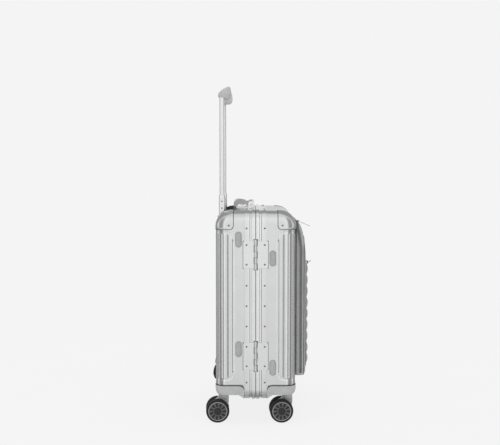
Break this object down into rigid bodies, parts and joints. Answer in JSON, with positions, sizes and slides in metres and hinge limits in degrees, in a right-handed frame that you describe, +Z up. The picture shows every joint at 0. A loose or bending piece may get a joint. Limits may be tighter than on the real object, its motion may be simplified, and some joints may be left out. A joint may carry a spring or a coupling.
{
  "type": "hard shell suitcase",
  "caption": "Upright aluminium cabin case with a hinged lid, telescopic trolley handle, carry handles, twin-wheel casters and a padded front pocket.",
  "frame": {"origin": "middle of the overall box, on the floor under the wheels", "axes": "+Z up, +X from the hinge side to the latch side, +Y from the pocket to the trolley handle"},
  "size_m": [0.4111, 0.2661, 0.8362],
  "materials": {
    "aluminium_shell": "ribbed sheet, satin anodised",
    "aluminium_frame": "extruded, satin anodised",
    "bright_aluminium": "satin anodised",
    "steel": "brushed",
    "grey_plastic": "satin moulded",
    "black_plastic": "fine grain moulded",
    "pad_rubber": "matte",
    "seal_rubber": "matte",
    "tyre_rubber": "matte",
    "grey_fabric": "coated woven polyester",
    "zip_tape": "coated zip",
    "lining_fabric": "thin woven polyester"
  },
  "bodies": {
    "base": {"back_shell": "aluminium_shell", "back_frame": "aluminium_frame", "back_frame_rivets": "steel", "back_top_corner_caps": "bright_aluminium", "back_wheel_housings": "grey_plastic", "back_hinge_leaves": "bright_aluminium", "frame_seal": "seal_rubber", "hinge_pins": "steel", "back_side_pads": "pad_rubber", "back_runners": "black_plastic", "trolley_outer_tubes": "bright_aluminium", "trolley_tray": "black_plastic", "trolley_foot_bracket": "black_plastic", "top_handle_brackets": "bright_aluminium", "side_handle_brackets": "bright_aluminium", "handle_and_latch_pins": "steel", "latch_bases": "bright_aluminium", "back_lining": "lining_fabric", "packing_straps": "lining_fabric", "strap_buckles": "black_plastic"},
    "lid": {"front_shell": "aluminium_shell", "front_frame": "aluminium_frame", "front_frame_rivets": "steel", "front_top_corner_caps": "bright_aluminium", "front_wheel_housings": "grey_plastic", "front_hinge_leaves": "bright_aluminium", "front_side_pads": "pad_rubber", "latch_strikers": "bright_aluminium", "front_lining": "lining_fabric", "divider_panel": "lining_fabric", "pocket_body": "grey_fabric", "pocket_front_panel": "grey_fabric", "pocket_zips": "zip_tape"},
    "trolley_middle": {"trolley_middle_tubes": "bright_aluminium"},
    "trolley_top": {"trolley_upper_tubes": "bright_aluminium", "trolley_grip": "grey_plastic"},
    "trolley_release": {"trolley_button": "grey_plastic", "trolley_release_yoke": "steel"},
    "top_handle": {"top_handle_grip": "grey_plastic"},
    "side_handle": {"side_handle_grip": "grey_plastic"},
    "upper_latch": {"upper_latch_lever": "bright_aluminium"},
    "lower_latch": {"lower_latch_lever": "bright_aluminium"},
    "main_pull": {"main_zip_pull": "steel"},
    "front_pull": {"front_zip_pull": "steel"},
    "back_left_caster": {"back_left_caster_fork": "grey_plastic", "back_left_caster_pins": "steel"},
    "back_left_outer": {"back_left_outer_wheel": "tyre_rubber"},
    "back_left_inner": {"back_left_inner_wheel": "tyre_rubber"},
    "back_right_caster": {"back_right_caster_fork": "grey_plastic", "back_right_caster_pins": "steel"},
    "back_right_outer": {"back_right_outer_wheel": "tyre_rubber"},
    "back_right_inner": {"back_right_inner_wheel": "tyre_rubber"},
    "front_left_caster": {"front_left_caster_fork": "grey_plastic", "front_left_caster_pins": "steel"},
    "front_left_outer": {"front_left_outer_wheel": "tyre_rubber"},
    "front_left_inner": {"front_left_inner_wheel": "tyre_rubber"},
    "front_right_caster": {"front_right_caster_fork": "grey_plastic", "front_right_caster_pins": "steel"},
    "front_right_outer": {"front_right_outer_wheel": "tyre_rubber"},
    "front_right_inner": {"front_right_inner_wheel": "tyre_rubber"}
  },
  "joints": [
    {"name": "lid_hinge", "type": "hinge", "parent": "base", "child": "lid", "pos_m": [-0.2016, 0.008, 0.296], "axis": [0, 0, -1], "range_deg": [0, 175]},
    {"name": "trolley_middle_slide", "type": "slide", "parent": "base", "child": "trolley_middle", "axis": [0, 0, 1], "range_m": [-0.052, 0.17]},
    {"name": "trolley_top_slide", "type": "slide", "parent": "trolley_middle", "child": "trolley_top", "axis": [0, 0, 1], "range_m": [-0.2415, 0]},
    {"name": "trolley_button_push", "type": "slide", "parent": "trolley_top", "child": "trolley_release", "axis": [0, 0, -1], "range_m": [0, 0.003], "stiffness_N_per_m": 700, "springref_m": -0.003},
    {"name": "top_handle_hinge", "type": "hinge", "parent": "base", "child": "top_handle", "pos_m": [-0.007, 0.019, 0.54], "axis": [1, 0, 0], "range_deg": [0, 95]},
    {"name": "side_handle_hinge", "type": "hinge", "parent": "base", "child": "side_handle", "pos_m": [0.195, 0.019, 0.296], "axis": [0, 0, -1], "range_deg": [0, 95]},
    {"name": "upper_latch_hinge", "type": "hinge", "parent": "base", "child": "upper_latch", "pos_m": [0.191, 0.029, 0.43], "axis": [0, 0, 1], "range_deg": [0, 100]},
    {"name": "lower_latch_hinge", "type": "hinge", "parent": "base", "child": "lower_latch", "pos_m": [0.191, 0.029, 0.167], "axis": [0, 0, 1], "range_deg": [0, 100]},
    {"name": "main_pull_hinge", "type": "hinge", "parent": "lid", "child": "main_pull", "pos_m": [-0.127, -0.1001, 0.4998], "axis": [1, 0, 0], "range_deg": [-70, 22]},
    {"name": "front_pull_hinge", "type": "hinge", "parent": "lid", "child": "front_pull", "pos_m": [-0.107, -0.1262, 0.395], "axis": [1, 0, 0], "range_deg": [-30, 112]},
    {"name": "back_left_swivel", "type": "hinge", "parent": "base", "child": "back_left_caster", "pos_m": [-0.15, 0.0875, 0.066], "axis": [0, 0, 1], "continuous": true},
    {"name": "back_left_outer_spin", "type": "hinge", "parent": "back_left_caster", "child": "back_left_outer", "pos_m": [-0.16654, 0.10215, 0.029], "axis": [0.9986, 0.0523, 0], "continuous": true},
    {"name": "back_left_inner_spin", "type": "hinge", "parent": "back_left_caster", "child": "back_left_inner", "pos_m": [-0.13508, 0.1038, 0.029], "axis": [0.9986, 0.0523, 0], "continuous": true},
    {"name": "back_right_swivel", "type": "hinge", "parent": "base", "child": "back_right_caster", "pos_m": [0.136, 0.0875, 0.066], "axis": [0, 0, 1], "continuous": true},
    {"name": "back_right_outer_spin", "type": "hinge", "parent": "back_right_caster", "child": "back_right_outer", "pos_m": [0.15063, 0.07094, 0.029], "axis": [-0.9976, 0.0698, 0], "continuous": true},
    {"name": "back_right_inner_spin", "type": "hinge", "parent": "back_right_caster", "child": "back_right_inner", "pos_m": [0.11921, 0.07314, 0.029], "axis": [-0.9976, 0.0698, 0], "continuous": true},
    {"name": "front_left_swivel", "type": "hinge", "parent": "lid", "child": "front_left_caster", "pos_m": [-0.15, -0.0715, 0.066], "axis": [0, 0, 1], "continuous": true},
    {"name": "front_left_outer_spin", "type": "hinge", "parent": "front_left_caster", "child": "front_left_outer", "pos_m": [-0.16654, -0.05685, 0.029], "axis": [0.9986, 0.0523, 0], "continuous": true},
    {"name": "front_left_inner_spin", "type": "hinge", "parent": "front_left_caster", "child": "front_left_inner", "pos_m": [-0.13508, -0.0552, 0.029], "axis": [0.9986, 0.0523, 0], "continuous": true},
    {"name": "front_right_swivel", "type": "hinge", "parent": "lid", "child": "front_right_caster", "pos_m": [0.136, -0.0715, 0.066], "axis": [0, 0, 1], "continuous": true},
    {"name": "front_right_outer_spin", "type": "hinge", "parent": "front_right_caster", "child": "front_right_outer", "pos_m": [0.15034, -0.05469, 0.029], "axis": [0.9962, 0.0872, 0], "continuous": true},
    {"name": "front_right_inner_spin", "type": "hinge", "parent": "front_right_caster", "child": "front_right_inner", "pos_m": [0.11896, -0.05743, 0.029], "axis": [0.9962, 0.0872, 0], "continuous": true}
  ]
}
